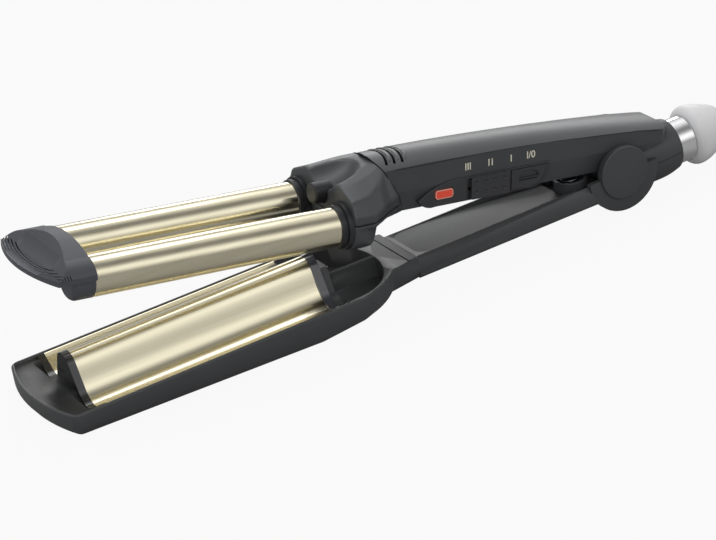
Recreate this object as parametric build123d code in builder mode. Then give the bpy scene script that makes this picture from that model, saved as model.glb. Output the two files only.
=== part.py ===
from build123d import *
import os
from math import acos, atan2, cos, hypot, pi, radians, sin, tan

# A triple-barrel hair waver: an upper arm with two heated barrels closes on a
# lower arm with a corrugated heated plate. Millimetres, +Z up, barrels towards
# -X, controls on the -Y side. Both arms are drawn closed, with the hinge axis
# along Y through the origin, and at the end are swung to the rest position and
# moved along by hinge_x.

os.makedirs("parts", exist_ok=True)

# ---- pose ----
open_angle = 10.5              # between the arms when the jaws stand open
rest_tilt = 1.7                # lower arm's slope when it lies on a table
hinge_x = 250.0                # from the origin, the middle of the sole, to the hinge

# ---- barrels and waves ----
barrel_d = 19.0
barrel_wall = 1.2
barrel_pitch = 40.6            # between the two barrel axes
half_pitch = barrel_pitch / 2
barrel_axis_z = 2.5            # above the hinge axis
barrel_rear_x = -164.7         # where the gold meets the head
barrel_exposed = 124.3
barrel_inset = 12.0            # length hidden in the head
hair_gap = 0.6                 # between barrel and trough, closed
plate_wall = 1.0
plate_front_x = -292.9
plate_rear_x = -169.6
plate_side = 13.2              # from a barrel's axis out to the plate's edge
plate_gap = 0.3                # plate's edge to the rim of the arm
plate_flange_z = -0.6
flank_angle = -52              # outer side of each trough
ridge_r = 6.5
ridge_axis_z = 6.9
block_proud = 0.3              # end blocks stand above the plate by this
front_block_len = 3.6
rear_block_len = 4.3
heater_w = 9.0
heater_t = 3.6
heater_top_z = 7.4
heater_len = 100.0
heater_gap = 3.75              # behind the cap's spigot
plate_heater_end = 11.65       # from each end of the plate to its heater
core_w = 12.0
core_t = 4.0
carrier_end = 4.0
carrier_wall = 1.5
carrier_slot = 3.6

# ---- lower arm ----
jaw_floor_z = -9.4
jaw_side_front_x = -309.0
jaw_nose_x = -316.0
jaw_side_rear_x = -159.0
jaw_shoulder_x = -145.5
jaw_shoulder_in = 5.5
jaw_corner_r = 5.0
rim_w = 1.5
plate_half_w = half_pitch + plate_side
jaw_half_w = plate_half_w + plate_gap + rim_w
rim_round = 0.8
deck_drop = 1.5                # front deck below the rim
pocket_gap = 0.9               # round the barrel ends, closed
neck_x = -134.5
neck_half_w = 21.0
well_centre_x = -160.0
well_long = 26.5
well_wall = 2.5
well_floor_z = -10.8
spine_w = 3.0
spine_top_z = -0.4
grip_front_x = -119.0
grip_half_w = 18.0
grip_bottom_z = -12.0
grip_rim_z = -1.2
grip_rim_half_w = 15.0
grip_bevel_z = -5.0
grip_foot = 1.5                # bevel along the grip's underside
grip_end_gap = 0.3             # grip's end to the tail
crease_x = (-124.5, -119.5)
crease_w = 0.8
crease_deep = 0.5
sole_run_out = 9.0             # the sole's cut runs on past the nose by this
sole_rear_x = -182.0           # from here the underside rises to the grip
sole_lift_x = -154.0
sole_bevel_down = 2.6
sole_bevel_in = 4.0
channel_front_x = -116.0
channel_half_w = 14.4
channel_corner_r = 6.0
channel_ledge = 2.1
channel_floor_z = -10.0
cover_line = ((-116.0, -1.6), (-88.0, -1.9), (-60.0, -3.7), (-30.0, -6.0), (0.0, -6.4))  # its top face
cover_thick = 2.0
cover_gap = 0.5                # to the spring cup
ear_r = 20.0
ear_wall = 2.6
ear_gap = 0.4                  # handle side to ear
cap_r = 13.5
cap_thick = 1.3
pin_r = 2.5
pin_fit = 0.05
foot_screws = ((-303.5, 22.0), (-188.0, 22.0))
foot_screw_r = 2.6
foot_head_t = 1.6
foot_shank_r = 1.2
foot_shank_len = 2.6
foot_sunk = 0.2

# ---- tail and swivel ----
tail_axis_z = -4.5
tail_r = 14.8
tail_end_r = 13.0
tail_front_x = 10.8
tail_round_x = 27.0
tail_end_x = 39.0
neck_r = 11.5
neck_wall = 1.5
neck_in = 3.5
neck_end_x = 48.3
knob_r = 15.3
knob_base_r = 12.4
knob_len = 21.0
knob_nose_r = 8.0
knob_fit = 0.05
knob_gap = 0.3
cord_bore_r = 3.6
clip_len = 1.6
clip_lip = 0.8
clip_groove = 1.4

# ---- handle ----
handle_half_w = 15.0
handle_bottom_z = 0.5
handle_wall = 2.0
knee_z = 11.0                  # crease along the side
belly_half_w = 12.2
arch_half_w = 14.7
handle_crown = ((-138.0, 26.5, 22.2), (-72.0, 26.1, 22.3), (-26.0, 23.9, 20.7),
                (10.0, 21.1, 18.5), (36.0, 18.2, 15.8))
handle_tail_x = 24.0           # sides end here, the crown runs on
seam_top = (-136.5, 28.0)      # slanted seam between head and handle
seam_bottom = (-121.5, -2.0)
seam_line = ((-142.0, 22.1), (-103.0, 22.2), (-81.0, 22.4), (-58.0, 22.0), (-36.0, 21.2), (-12.0, 19.7),
             (11.0, 18.4), (24.0, 16.3), (36.0, 14.4))
tail_seat_x = 8.0
vent_count = 3
vent_x = -128.0
vent_pitch = 4.3
vent_sag = -2.5
vent_half_w = 11.5
vent_w = 1.3
handle_screw_x = (-112.0, -72.0, -34.0)
handle_screw_y = 6.0
handle_screw_r = 2.5
handle_screw_deep = 2.4
handle_shank_r = 1.2
handle_boss_h = 10.0
wire_port_x = 19.0
wire_port_r = 3.0
tail_seat = ((13.7, 6.9), (26.0, 10.4), (33.5, 13.3))
crown_outer = ((33.2, 14.6), (29.2, 17.7), (21.5, 20.4))
crown_inner = ((27.2, 16.6), (25.2, 17.6), (21.5, 18.4))
knuckle_r = 9.0
seat_gap = 0.3                 # between the open stop faces
sweep_steps = 5                # places of the handle's end that the tail makes room for
sweep_angle = 1.05

# ---- head ----
head_front_x = -159.0
head_split_z = 5.0
head_side = 11.9               # from a barrel's axis out to the head's side
head_half_w = half_pitch + head_side
head_sections = (              # stations, and half outlines from the crest down
    (-159.0, ((0.0, 20.4), (10.0, 20.3), (18.0, 19.8), (head_half_w - 3.2, 15.6), (head_half_w, 9.0),
              (head_half_w, 3.5), (head_half_w - 2.2, 1.2), (0.0, 1.2))),
    (-148.0, ((0.0, 22.8), (9.0, 22.7), (16.0, 21.9), (head_half_w - 5.6, 16.8), (head_half_w, 9.0),
              (head_half_w - 0.2, 3.5), (head_half_w - 2.7, 1.2), (0.0, 1.2))),
    (-141.0, ((0.0, 24.3), (8.0, 24.2), (14.0, 23.3), (22.0, 19.6), (28.0, 10.0), (27.0, 3.5), (23.5, 1.1),
              (0.0, 1.1))),
    (-134.5, ((0.0, 25.5), (7.0, 25.4), (10.5, 24.8), (14.8, 22.8), (22.5, 10.5), (21.5, 4.0), (18.5, 0.8),
              (0.0, 0.8))),
    (-122.0, ((0.0, 26.7), (6.0, 26.5), (9.5, 25.9), (14.9, 22.4), (15.6, 11.0), (14.2, 4.0), (12.8, 0.5),
              (0.0, 0.5))),
)
lobe_r = 12.0
lobe_under = ((-157.0, -9.5), (-146.6, -5.4), (-142.0, 4.0))
lobe_wire_r = 7.0
lobe_wire_x = -148.0
well_gap = 0.8
lobe_gap_half_w = 9.0
lobe_gap_top_z = 1.2
scoop_x = -164.0
scoop_z = 32.0
scoop_long = 26.0
scoop_r = 18.0
plug_r = 5.0
plug_z = 12.7
plug_proud = 5.5
plug_rear_x = -155.0
collar_r = (10.4, 11.5)
collar_len = (3.0, 2.7)

# ---- front cap ----
sleeve_len = 10.5
sleeve_round = 3.0
spigot_len = 4.0
hood_top_z = 17.0
hood_rim_x = -295.3
hood_half_w = half_pitch + 11.1
hood_shoulder = (half_pitch + 2.2, 12.6)
hood_cheek = (half_pitch + 7.6, 10.7)
hood_haunch_z = 15.9
hood_clear = 0.9               # over the ridge, closed
lever_tip_x = -313.5
lever_side_x = -307.6
lever_z = (4.4, 7.0)
ridge_count = 5
ridge_pitch = 1.3
ridge_deep = 0.5
arch_foot = 10.5
bowl_x = -311.5
bowl_z = 19.5
bowl_r = 13.0
bowl_half = 16.0
cap_screw_r = 2.4
cap_screw_shank_r = 1.2
cap_screw_deep = 3.0
cap_screw_head_t = 1.6
cap_screw_tip = 1.0            # short of the spigot's end

# ---- cross recess in each screw head ----
cross_w = 0.5
cross_deep = 0.6

# ---- spring ----
cup_x = -20.0
cup_r = 8.6
cup_wall = 1.6
cup_top_z = -0.6
spring_r = 4.6
spring_wire = 1.1
spring_turns = 4
spring_slack = 0.25            # to the handle, at rest

# ---- controls ----
bezel_z = (0.4, 12.2)
bezel_x = (-115.5, -41.5)
bezel_proud = 0.8
bezel_deep = 4.0
slider_len = 21.0
slider_x = -76.3
slider_travel = 8.0
slider_lift = 0.1
slider_cap = 1.0
dimple_r = 1.1
button_x = (-64.0, -43.2)
button_travel = 1.4
button_proud = 0.5
half_moon_r = 5.6
moon_z = 6.6
moon_deep = 1.0
button_mid_x = -54.2
button_floor_y = 12.6
stem_z = 6.4
plunger_r = 1.6
stem_len = 6.0
stem_h = 2.2
tip_r = 0.9
switch_face_y = 8.1
led_x = -101.6
led_z = 6.3
led_size = (10.0, 4.6)
control_gap = 0.3
board_y = -6.0
board_t = 1.6
board_x = (-112.0, -42.0)
board_z = (3.0, 16.0)

# ---- worked out ----
barrel_r = barrel_d / 2
well_half_w = jaw_half_w - well_wall
heater_front_x = barrel_rear_x - barrel_exposed + spigot_len + heater_gap
barrel_front_x = barrel_rear_x - barrel_exposed
trough_r = barrel_r + hair_gap
hinge_z = ear_r
ear_in_y = handle_half_w + ear_gap
ear_out_y = ear_in_y + ear_wall
lower_pose = Location((hinge_x, 0, hinge_z), (0, -rest_tilt, 0))
upper_pose = Location((hinge_x, 0, hinge_z), (0, open_angle - rest_tilt, 0))


def across(x):
    """Section plane across the tool at x: local x is +Y, local y is +Z."""
    return Plane((x, 0, 0), x_dir=(0, 1, 0), z_dir=(1, 0, 0))


def sole_height(x):
    """Height of the table under the closed lower arm at x."""
    return -(ear_r + x * sin(radians(rest_tilt))) / cos(radians(rest_tilt))


def screw(plane, head_radius, head_t, shank_radius, shank_len):
    """Pan screw: head on the plane, shank along the plane's normal."""
    with BuildPart(mode=Mode.PRIVATE) as body:
        with BuildSketch(plane):
            Circle(head_radius)
        extrude(amount=head_t)
        with BuildSketch(plane.offset(head_t)):
            Circle(shank_radius)
        extrude(amount=shank_len)
        with BuildSketch(plane):
            Rectangle(head_radius * 1.2, cross_w)
            Rectangle(cross_w, head_radius * 1.2)
        extrude(amount=cross_deep, mode=Mode.SUBTRACT)
    return body.part


# ================= lower arm: corrugated plate =================
def wave_points(drop):
    """Half of the plate's section line, sunk by drop, from flange to ridge top."""
    trough = trough_r + drop
    ridge = ridge_r - drop
    rise = ridge_axis_z - barrel_axis_z
    inner = atan2(rise, -half_pitch) + acos((trough + ridge) / hypot(half_pitch, rise))
    outer = radians(flank_angle)
    middle = (inner + outer) / 2 + pi
    flange_z = plate_flange_z - drop
    foot = (half_pitch + trough * cos(outer), barrel_axis_z + trough * sin(outer))
    knee = (foot[0] - (flange_z - foot[1]) * tan(outer), flange_z)
    bottom = (half_pitch + trough * cos(middle), barrel_axis_z + trough * sin(middle))
    flank = (half_pitch + trough * cos(inner), barrel_axis_z + trough * sin(inner))
    shoulder = (-ridge * cos(inner), ridge_axis_z - ridge * sin(inner))
    round_mid = (ridge * sin(radians(35)), ridge_axis_z + ridge * cos(radians(35)))
    return (plate_half_w, flange_z), knee, foot, bottom, flank, shoulder, round_mid, (0, ridge_axis_z + ridge)


def wave_line(drop):
    """Draw that half line into the open BuildLine."""
    flange, knee, foot, bottom, flank, shoulder, round_mid, top = wave_points(drop)
    Polyline(flange, knee, foot)
    ThreePointArc(foot, bottom, flank)
    Line(flank, shoulder)
    ThreePointArc(shoulder, round_mid, top)


def wave_block(x_from, x_to, drop):
    """Solid under the wave line from the jaw floor up, between two stations."""
    with BuildPart(mode=Mode.PRIVATE) as block:
        with BuildSketch(across(x_from)):
            with BuildLine():
                wave_line(drop)
                side = wave_points(drop)[0]
                Polyline(side, (side[0], jaw_floor_z), (0, jaw_floor_z))
                mirror(about=Plane.YZ)
            make_face()
        extrude(amount=x_to - x_from)
    return block.part


with BuildPart() as wave_plate:
    with BuildSketch(across(plate_front_x)):
        with BuildLine():
            wave_line(0)
            wave_line(plate_wall)
            Line(wave_points(0)[0], wave_points(plate_wall)[0])
            mirror(about=Plane.YZ)
        make_face()
    extrude(amount=plate_rear_x - plate_front_x)

front_block_x = plate_front_x - front_block_len
rear_block_x = plate_rear_x + rear_block_len

with BuildPart() as plate_front_block:
    add(wave_block(front_block_x, plate_front_x, -block_proud))

with BuildPart() as plate_rear_block:
    add(wave_block(plate_rear_x, rear_block_x, -block_proud))

# Aluminium saddle, ceramic heater and carrier stand under the ridge.
plate_mid_x = (plate_front_x + plate_rear_x) / 2
plate_heater_len = plate_rear_x - plate_front_x - 2 * plate_heater_end
with BuildPart() as heat_saddle:
    with BuildSketch(across(plate_mid_x)):
        with Locations((0, ridge_axis_z)):
            Circle(ridge_r - plate_wall)
        with Locations((0, heater_top_z)):
            Rectangle(3 * ridge_r, 2 * ridge_r, align=(Align.CENTER, Align.MIN), mode=Mode.INTERSECT)
    extrude(amount=plate_heater_len / 2, both=True)

with BuildPart() as plate_heater:
    with Locations((plate_mid_x, 0, heater_top_z)):
        Box(plate_heater_len, heater_w, heater_t, align=(Align.CENTER, Align.CENTER, Align.MAX))

with BuildPart() as heater_carrier:
    with Locations((plate_mid_x, 0, jaw_floor_z)):
        Box(plate_heater_len, heater_w, heater_top_z - heater_t - jaw_floor_z,
            align=(Align.CENTER, Align.CENTER, Align.MIN))
    with Locations((plate_mid_x, 0, jaw_floor_z)):
        Box(plate_heater_len - 2 * carrier_end, heater_w - 2 * carrier_wall, carrier_slot,
            align=(Align.CENTER, Align.CENTER, Align.MIN), mode=Mode.SUBTRACT)


# ================= lower arm: moulding =================
def jaw_outline():
    """Half outline of the jaw seen from above, drawn into the open BuildLine."""
    nose = ThreePointArc((jaw_nose_x, 0), (jaw_nose_x * 0.75 + jaw_side_front_x * 0.25, jaw_half_w / 2),
                         (jaw_side_front_x, jaw_half_w))
    Line(nose @ 1, (jaw_side_rear_x, jaw_half_w))
    ThreePointArc((jaw_side_rear_x, jaw_half_w), (jaw_shoulder_x, jaw_half_w - jaw_shoulder_in),
                  (neck_x, neck_half_w))
    Polyline((neck_x, neck_half_w), (grip_front_x, grip_half_w), (grip_front_x, 0), (jaw_nose_x, 0))


def cover_band(height, rear_x):
    """Band of that height from the cover's underside up, as wide as the grip's channel."""
    with BuildPart(mode=Mode.PRIVATE) as band:
        with BuildSketch(Plane.XZ):
            with BuildLine():
                under = [(x, z - cover_thick) for x, z in cover_line]
                over = [(x, z + height) for x, z in under]
                Spline(*under)
                Spline(*over)
                Line(under[0], over[0])
                Line(under[-1], over[-1])
            make_face()
        extrude(amount=channel_half_w, both=True)
        with BuildSketch(Plane.XY.offset(channel_floor_z)) as band_plan:
            with Locations((channel_front_x, 0)):
                Rectangle(rear_x - channel_front_x, 2 * channel_half_w, align=(Align.MIN, Align.CENTER))
            fillet(band_plan.vertices().group_by(Axis.X)[0], channel_corner_r)
        extrude(amount=4 * ear_r, mode=Mode.INTERSECT)
    return band.part


with BuildPart() as lower_arm_shell:
    with BuildSketch() as jaw_plan:
        with BuildLine():
            jaw_outline()
        make_face()
        mirror(about=Plane.XZ)
        nose_corners = jaw_plan.vertices().filter_by_position(Axis.X, jaw_side_front_x - 1,
                                                              jaw_side_front_x + 1)
        fillet(nose_corners, jaw_corner_r)
    extrude(amount=2 * grip_bottom_z)
    fillet(lower_arm_shell.faces().sort_by(Axis.Z)[-1].edges(), rim_round)
    with BuildSketch(Plane.XZ) as under_sole:
        with BuildLine():
            sole_from_x = jaw_nose_x - sole_run_out
            Polyline((sole_from_x, sole_height(sole_from_x)), (sole_rear_x, sole_height(sole_rear_x)),
                     (sole_lift_x, grip_bottom_z), (0, grip_bottom_z), (0, 3 * grip_bottom_z),
                     (sole_from_x, 3 * grip_bottom_z), close=True)
        make_face()
    extrude(amount=2 * jaw_half_w, both=True, mode=Mode.SUBTRACT)
    under_edges = lower_arm_shell.faces().filter_by(lambda face: face.normal_at().Z < -0.9).edges()
    outer_edges = under_edges.filter_by(Axis.Y, reverse=True)
    outer_edges = outer_edges.filter_by_position(Axis.X, jaw_nose_x, grip_front_x - 1)
    chamfer(outer_edges, sole_bevel_down, sole_bevel_in)
    # grip, a channel with bevelled rims
    with BuildSketch(across(grip_front_x)):
        with BuildLine():
            Polyline((0, grip_bottom_z), (grip_half_w - grip_foot, grip_bottom_z),
                     (grip_half_w, grip_bottom_z + grip_foot),
                     (grip_half_w, grip_bevel_z), (grip_rim_half_w, grip_rim_z), (0, grip_rim_z), close=True)
        make_face()
        mirror(about=Plane.YZ)
    extrude(amount=tail_front_x - grip_end_gap - grip_front_x)
    # ears round the hinge axis
    with BuildSketch(Plane.XZ.offset(ear_in_y)):
        Circle(ear_r)
    extrude(amount=ear_wall)
    with BuildSketch(Plane.XZ.offset(-ear_in_y)):
        Circle(ear_r)
    extrude(amount=-ear_wall)
    # space between the ears for the handle's knuckle and the cup
    with Locations((tail_front_x, 0, channel_floor_z)):
        Box(tail_front_x + ear_r + 6, 2 * ear_in_y, 2 * ear_r,
            align=(Align.MAX, Align.CENTER, Align.MIN), mode=Mode.SUBTRACT)
    # channel for the cover and the wires below it
    add(cover_band(2 * ear_r, 0), mode=Mode.SUBTRACT)
    with BuildSketch(Plane.XY.offset(channel_floor_z)) as wire_plan:
        with Locations((channel_front_x + channel_ledge, 0)):
            Rectangle(-channel_front_x - channel_ledge, 2 * (channel_half_w - channel_ledge),
                      align=(Align.MIN, Align.CENTER))
        fillet(wire_plan.vertices().group_by(Axis.X)[0], channel_corner_r - channel_ledge)
    extrude(amount=2 * ear_r, mode=Mode.SUBTRACT)
    # pocket under the corrugated plate
    with Locations((front_block_x, 0, jaw_floor_z)):
        Box(rear_block_x - front_block_x, 2 * (plate_half_w + plate_gap), 2 * ear_r,
            align=(Align.MIN, Align.CENTER, Align.MIN), mode=Mode.SUBTRACT)
    # deck in front of it, inside the rim
    with BuildSketch(Plane.XY.offset(-deck_drop)) as deck_plan:
        with BuildLine():
            jaw_outline()
        make_face()
        mirror(about=Plane.XZ)
        offset(amount=-rim_w)
        with Locations((front_block_x, 0)):
            Rectangle(60, 3 * jaw_half_w, align=(Align.MAX, Align.CENTER), mode=Mode.INTERSECT)
    extrude(amount=2 * deck_drop, mode=Mode.SUBTRACT)
    # room for the barrel ends when the jaws close
    with BuildSketch(across(front_block_x + 1)):
        with Locations((-half_pitch, barrel_axis_z), (half_pitch, barrel_axis_z)):
            Circle(barrel_r + pocket_gap)
    extrude(amount=-(front_block_x + 1 - barrel_front_x + sleeve_len + pocket_gap), mode=Mode.SUBTRACT)
    # well behind the plate for the head's two lobes, with a spine between
    with BuildSketch(Plane.XY.offset(well_floor_z)) as well_plan:
        with Locations((well_centre_x, 0)):
            Ellipse(well_long, well_half_w)
            Rectangle(well_long, 3 * well_half_w, align=(Align.MIN, Align.CENTER), mode=Mode.INTERSECT)
            Rectangle(well_centre_x - rear_block_x, 2 * well_half_w, align=(Align.MAX, Align.CENTER))
    extrude(amount=2 * ear_r, mode=Mode.SUBTRACT)
    with Locations((rear_block_x, 0, well_floor_z)):
        Box(well_centre_x + well_long + 1 - rear_block_x, spine_w, spine_top_z - well_floor_z,
            align=(Align.MIN, Align.CENTER, Align.MIN))
    # creases across the neck
    for x in crease_x:
        with Locations((x, 0, 0)):
            Box(crease_w, 3 * grip_half_w, 2 * crease_deep, mode=Mode.SUBTRACT)
    # screw holes under the jaw, and the pin bore
    for x, y in foot_screws:
        with BuildSketch(Plane.XY.offset(sole_height(x) + foot_sunk + foot_head_t)):
            with Locations((x, -y), (x, y)):
                Circle(foot_screw_r)
        extrude(amount=-3 * foot_head_t, mode=Mode.SUBTRACT)
        with BuildSketch(Plane.XY.offset(sole_height(x))):
            with Locations((x, -y), (x, y)):
                Circle(foot_shank_r)
        extrude(amount=foot_sunk + foot_head_t + foot_shank_len, mode=Mode.SUBTRACT)
    with BuildSketch(Plane.XZ):
        Circle(pin_r)
    extrude(amount=2 * ear_out_y, both=True, mode=Mode.SUBTRACT)

with BuildPart() as lower_screws:
    for x, y in foot_screws:
        for side in (-1, 1):
            seat = Plane((x, side * y, sole_height(x) + foot_sunk), z_dir=(0, 0, 1))
            add(screw(seat, foot_screw_r, foot_head_t, foot_shank_r, foot_shank_len))

# Cover over the wires along the grip.
with BuildPart() as grip_cover:
    add(cover_band(cover_thick, cup_x - cup_r - cover_gap))

# ================= hinge and opening spring =================
with BuildPart() as spring_cup:
    with BuildSketch(Plane.XY.offset(channel_floor_z)):
        with Locations((cup_x, 0)):
            Circle(cup_r)
    extrude(amount=cup_top_z - channel_floor_z)
    with BuildSketch(Plane.XY.offset(channel_floor_z + cup_wall)):
        with Locations((cup_x, 0)):
            Circle(cup_r - cup_wall)
    extrude(amount=-channel_floor_z, mode=Mode.SUBTRACT)
    fillet(spring_cup.edges().filter_by(GeomType.CIRCLE).group_by(Axis.Z)[-1], 0.6)

spring_foot_z = channel_floor_z + cup_wall
spring_top_z = handle_bottom_z - (cup_x + spring_r + spring_wire) * tan(radians(open_angle)) - spring_slack
spring_rise = spring_top_z - spring_foot_z - spring_wire
with BuildPart() as opening_spring:
    with BuildLine():
        coil = Helix(pitch=spring_rise / spring_turns, height=spring_rise, radius=spring_r,
                     center=(cup_x, 0, spring_foot_z + spring_wire / 2))
    with BuildSketch(Plane(origin=coil @ 0, z_dir=coil % 0)):
        RegularPolygon(spring_wire / 2, 8)
    sweep(is_frenet=True)

with BuildPart() as hinge_pin:
    with BuildSketch(Plane.XZ):
        Circle(pin_r)
    extrude(amount=ear_out_y, both=True)
    chamfer(hinge_pin.edges(), 0.3)


def hinge_cap(side):
    """Round cover over one end of the pin, with a shallow crown."""
    with BuildPart(mode=Mode.PRIVATE) as cap:
        with BuildSketch(Plane.XZ.offset(-side * ear_out_y)):
            Circle(cap_r)
        extrude(amount=-side * cap_thick)
        fillet(cap.faces().sort_by(Axis.Y)[-1 if side > 0 else 0].edges(), 0.6)
    return cap.part


with BuildPart() as near_hinge_cap:
    add(hinge_cap(-1))

with BuildPart() as far_hinge_cap:
    add(hinge_cap(1))


# ================= handle forms =================
def seat_height(x):
    """Height of the handle's rear underside at x."""
    (x_from, z_from), (x_to, z_to) = tail_seat[1:]
    return z_from + (z_to - z_from) * (x - x_from) / (x_to - x_from)


def seam_x(z):
    """Station of the slanted seam between head and handle at height z."""
    return seam_top[0] + (seam_bottom[0] - seam_top[0]) * (z - seam_top[1]) / (seam_bottom[1] - seam_top[1])


def handle_form(grow, crown_end):
    """Solid inside the handle's outer skin, grown outwards by grow, with the given end of the crown."""
    with BuildPart(mode=Mode.PRIVATE) as form:
        for x, crest, shoulder in handle_crown:
            with BuildSketch(across(x)):
                with BuildLine():
                    Polyline((-arch_half_w - grow, shoulder), (-handle_half_w - grow, knee_z),
                             (-belly_half_w - grow, handle_bottom_z - grow),
                             (belly_half_w + grow, handle_bottom_z - grow),
                             (handle_half_w + grow, knee_z), (arch_half_w + grow, shoulder))
                    ThreePointArc((arch_half_w + grow, shoulder), (0, crest + grow),
                                  (-arch_half_w - grow, shoulder))
                make_face()
        loft()
        with BuildSketch(Plane.XZ):
            with BuildLine():
                front = min(grow, 0)
                end_x = crown_end[0][0] + max(grow, 0)
                seat_end = (end_x, seat_height(end_x) - grow)
                Polyline((seam_x(40) + front, 40), (seam_x(-20) + front, -20), (tail_seat_x + grow, -20),
                         (tail_seat_x + grow, 5.2 - grow), (tail_seat[0][0], tail_seat[0][1] - grow),
                         (tail_seat[1][0], tail_seat[1][1] - grow), seat_end, (end_x, crown_end[0][1]))
                ThreePointArc((end_x, crown_end[0][1]), crown_end[1], crown_end[2])
                Polyline(crown_end[2], (15.0, 40), (seam_x(40) + front, 40))
            make_face()
        extrude(amount=2 * handle_half_w, both=True, mode=Mode.INTERSECT)
        with BuildSketch(Plane.XY.offset(-knee_z)):
            with BuildLine():
                side_y = handle_half_w + grow
                ThreePointArc((handle_tail_x, -side_y), (crown_end[0][0] + max(grow, 0), 0),
                              (handle_tail_x, side_y))
                Polyline((handle_tail_x, side_y), (handle_crown[0][0], side_y), (handle_crown[0][0], -side_y),
                         (handle_tail_x, -side_y))
            make_face()
        extrude(amount=5 * knee_z, mode=Mode.INTERSECT)
    return form.part


handle_outer = handle_form(0, crown_outer)
handle_inner = handle_form(-handle_wall, crown_inner)
handle_sweep = handle_form(seat_gap, crown_outer)

# ================= tail and cord swivel =================
with BuildPart(mode=Mode.PRIVATE) as tail_form:
    with BuildSketch(Plane.XZ):
        with BuildLine():
            tail_top_z = tail_axis_z + tail_r
            tail_lip_z = tail_axis_z + tail_end_r
            Polyline((tail_front_x, tail_axis_z), (tail_front_x, tail_top_z), (tail_round_x, tail_top_z))
            TangentArc((tail_round_x, tail_top_z), (tail_end_x, tail_lip_z), tangent=(1, 0))
            Polyline((tail_end_x, tail_lip_z), (tail_end_x, tail_axis_z), (tail_front_x, tail_axis_z))
        make_face()
    revolve(axis=Axis((0, 0, tail_axis_z), (1, 0, 0)))
    fillet(tail_form.edges().filter_by(GeomType.CIRCLE).sort_by(Axis.X)[-1], 0.6)
    # side pads fill the gap to the ears
    with Locations((tail_front_x, 0, tail_axis_z - 2)):
        Box(6, 2 * ear_in_y, 5, align=(Align.MIN, Align.CENTER, Align.MAX))
    # wire space with the neck's socket at its end, and the handle's seat
    with BuildSketch(across(tail_front_x)):
        with Locations((0, tail_axis_z)):
            Circle(neck_r)
    extrude(amount=tail_end_x - tail_front_x, mode=Mode.SUBTRACT)
    for step in range(sweep_steps):
        swing = Location((0, 0, 0), (0, open_angle - step * sweep_angle, 0))
        add(handle_sweep.moved(swing), mode=Mode.SUBTRACT)

with BuildPart() as tail_lower:
    add(tail_form.part)
    split(bisect_by=Plane.XY.offset(tail_axis_z), keep=Keep.BOTTOM)

with BuildPart() as tail_upper:
    add(tail_form.part)
    split(bisect_by=Plane.XY.offset(tail_axis_z), keep=Keep.TOP)

with BuildPart() as swivel_neck:
    with BuildSketch(across(tail_end_x - neck_in)):
        with Locations((0, tail_axis_z)):
            Circle(neck_r)
            Circle(neck_r - neck_wall, mode=Mode.SUBTRACT)
    extrude(amount=neck_end_x - tail_end_x + neck_in)

stem_r = neck_r - neck_wall - knob_fit
clip_x = tail_end_x - neck_in - knob_gap - clip_len
with BuildPart() as swivel_knob:
    with BuildSketch(Plane.XZ):
        with BuildLine():
            base_x = neck_end_x + knob_gap
            Polyline((clip_x, tail_axis_z), (clip_x, tail_axis_z + stem_r - clip_groove),
                     (clip_x + clip_len, tail_axis_z + stem_r - clip_groove),
                     (clip_x + clip_len, tail_axis_z + stem_r),
                     (base_x, tail_axis_z + stem_r), (base_x, tail_axis_z + knob_base_r))
            ThreePointArc((base_x, tail_axis_z + knob_base_r),
                          (base_x + 1.2, tail_axis_z + knob_base_r + 1.8),
                          (base_x + 4.0, tail_axis_z + knob_r))
            Spline((base_x + 4.0, tail_axis_z + knob_r),
                   (base_x + 0.6 * knob_len, tail_axis_z + 0.86 * knob_r),
                   (base_x + knob_len, tail_axis_z + knob_nose_r), tangents=((1, 0), (0.5, -1)))
            Polyline((base_x + knob_len, tail_axis_z + knob_nose_r), (base_x + knob_len, tail_axis_z),
                     (clip_x, tail_axis_z))
        make_face()
    revolve(axis=Axis((0, 0, tail_axis_z), (1, 0, 0)))
    with BuildSketch(across(clip_x)):
        with Locations((0, tail_axis_z)):
            Circle(cord_bore_r)
    extrude(amount=2 * knob_len + neck_end_x - clip_x, mode=Mode.SUBTRACT)

# Clip ring that keeps the knob's stem in the neck.
with BuildPart() as swivel_clip:
    with BuildSketch(across(clip_x)):
        with Locations((0, tail_axis_z)):
            Circle(stem_r + clip_lip)
            Circle(stem_r - clip_groove, mode=Mode.SUBTRACT)
    extrude(amount=clip_len)

# ================= barrels =================
barrel_span = barrel_exposed + barrel_inset


def barrel_tube(side):
    """Thin gold tube from the front cap into the head."""
    with BuildPart(mode=Mode.PRIVATE) as tube:
        with BuildSketch(across(barrel_front_x)):
            with Locations((side * half_pitch, barrel_axis_z)):
                Circle(barrel_r)
                Circle(barrel_r - barrel_wall, mode=Mode.SUBTRACT)
        extrude(amount=barrel_span)
    return tube.part


def barrel_heater(side):
    """Flat ceramic heater on the barrel's centre line."""
    with BuildPart(mode=Mode.PRIVATE) as heater:
        with Locations((heater_front_x + heater_len / 2, side * half_pitch, barrel_axis_z)):
            Box(heater_len, core_w, core_t)
    return heater.part


def barrel_spreaders(side):
    """Two half-round bars that press the heater and fill the tube."""
    with BuildPart(mode=Mode.PRIVATE) as bars:
        with BuildSketch(across(heater_front_x)):
            with Locations((side * half_pitch, barrel_axis_z)):
                Circle(barrel_r - barrel_wall)
                Rectangle(barrel_d, core_t, mode=Mode.SUBTRACT)
        extrude(amount=heater_len)
    return bars.part


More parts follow.
